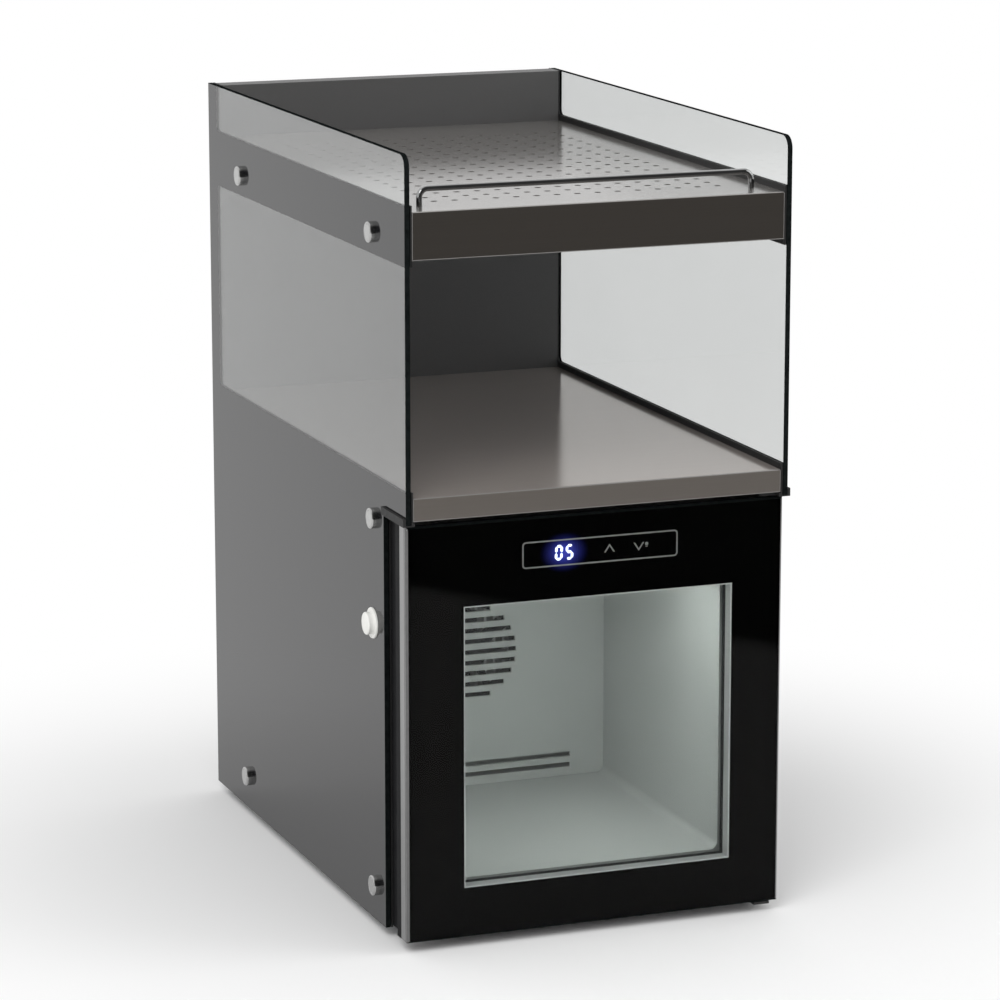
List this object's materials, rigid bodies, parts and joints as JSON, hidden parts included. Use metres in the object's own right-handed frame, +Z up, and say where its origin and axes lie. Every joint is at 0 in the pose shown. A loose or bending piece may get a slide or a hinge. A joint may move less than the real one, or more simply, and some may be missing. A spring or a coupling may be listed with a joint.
{
  "type": "milk fridge",
  "caption": "Narrow milk cooler with a black glass door, touch display and lit chamber, between clear glass sides that carry heated cup shelves and a gallery rail above it.",
  "frame": {"origin": "middle of the footprint, on the surface that the feet stand on", "axes": "+X to the right seen from the front, +Y to the back, +Z up; the door faces -Y"},
  "size_m": [0.3207, 0.485, 0.61],
  "materials": {
    "clear_glass": "polished, lightly smoked, dark edges",
    "door_glass": "polished",
    "door_print": "black screen print seen through glass",
    "black_steel": "satin black powder coat",
    "grey_steel": "fine-textured dark grey powder coat",
    "galvanised_steel": "bare zinc-coated sheet",
    "polished_steel": "polished stainless steel",
    "chrome": "bright chrome",
    "zinc_screws": "bright zinc",
    "black_rubber": "matt",
    "black_plastic": "fine moulded grain",
    "liner_plastic": "smooth light grey moulding",
    "white_plug": "soft white moulding",
    "foam": "rigid polyurethane foam",
    "aluminium": "satin anodised",
    "module_ceramic": "bare alumina",
    "heater_silicone": "silicone mat",
    "thermostat_body": "phenolic disc",
    "circuit_board": "solder mask",
    "display_face": "smoked window",
    "lamp_opal": "opal diffuser",
    "nylon": "plain nylon",
    "brass": "plated contact"
  },
  "bodies": {
    "cabinet": {"side_glass_left": "clear_glass", "side_glass_right": "clear_glass", "side_cheek_left": "black_steel", "side_cheek_right": "black_steel", "rear_column": "grey_steel", "rear_cover": "grey_steel", "base_plate": "galvanised_steel", "outer_casing": "galvanised_steel", "upper_hinge_plate": "galvanised_steel", "lower_hinge_plate": "galvanised_steel", "upper_tray_base": "galvanised_steel", "lower_tray": "polished_steel", "upper_tray": "polished_steel", "glass_caps_left": "chrome", "glass_caps_right": "chrome", "gallery_rail": "chrome", "foot_screws": "zinc_screws", "hinge_screws": "zinc_screws", "hinge_pins": "zinc_screws", "rear_screws": "zinc_screws", "rail_nuts": "zinc_screws", "rubber_feet": "black_rubber", "glass_washers": "black_rubber", "step_trim_left": "black_rubber", "step_trim_right": "black_rubber", "front_collar": "black_plastic", "cold_fan_frame": "black_plastic", "hot_fan_frame": "black_plastic", "power_inlet": "black_plastic", "chamber_liner": "liner_plastic", "evaporator_cover": "liner_plastic", "lamp_housing": "liner_plastic", "hose_sleeve": "liner_plastic", "foam_insulation": "foam", "shelf_board": "foam", "cold_sink": "aluminium", "cold_block": "aluminium", "hot_sink": "aluminium", "power_supply": "aluminium", "peltier_module": "module_ceramic", "upper_heater_mat": "heater_silicone", "lower_heater_mat": "heater_silicone", "warmer_thermostat": "thermostat_body", "control_board": "circuit_board", "lamp_diffuser": "lamp_opal", "inlet_pins": "brass"},
    "door": {"door_glass": "door_glass", "door_mask": "door_print", "door_frame": "aluminium", "hinge_bushes": "nylon", "glazing_spacer": "aluminium", "inner_pane": "door_glass", "door_back_frame": "black_plastic", "display_board": "circuit_board", "display_module": "display_face", "door_gasket": "black_rubber"},
    "cold_fan": {"cold_fan_rotor": "black_plastic"},
    "hot_fan": {"hot_fan_rotor": "black_plastic"},
    "plug": {"hose_plug": "white_plug"}
  },
  "joints": [
    {"name": "door_hinge", "type": "hinge", "parent": "cabinet", "child": "door", "pos_m": [0.141, -0.22835, 0.17], "axis": [0, 0, 1], "range_deg": [0, 110]},
    {"name": "cold_fan_spin", "type": "hinge", "parent": "cabinet", "child": "cold_fan", "pos_m": [0, 0.04, 0.159], "axis": [0, 1, 0], "continuous": true},
    {"name": "hot_fan_spin", "type": "hinge", "parent": "cabinet", "child": "hot_fan", "pos_m": [0, 0.157, 0.159], "axis": [0, 1, 0], "continuous": true},
    {"name": "hose_plug_pull", "type": "slide", "parent": "cabinet", "child": "plug", "axis": [-1, 0, 0], "range_m": [0, 0.036]}
  ]
}
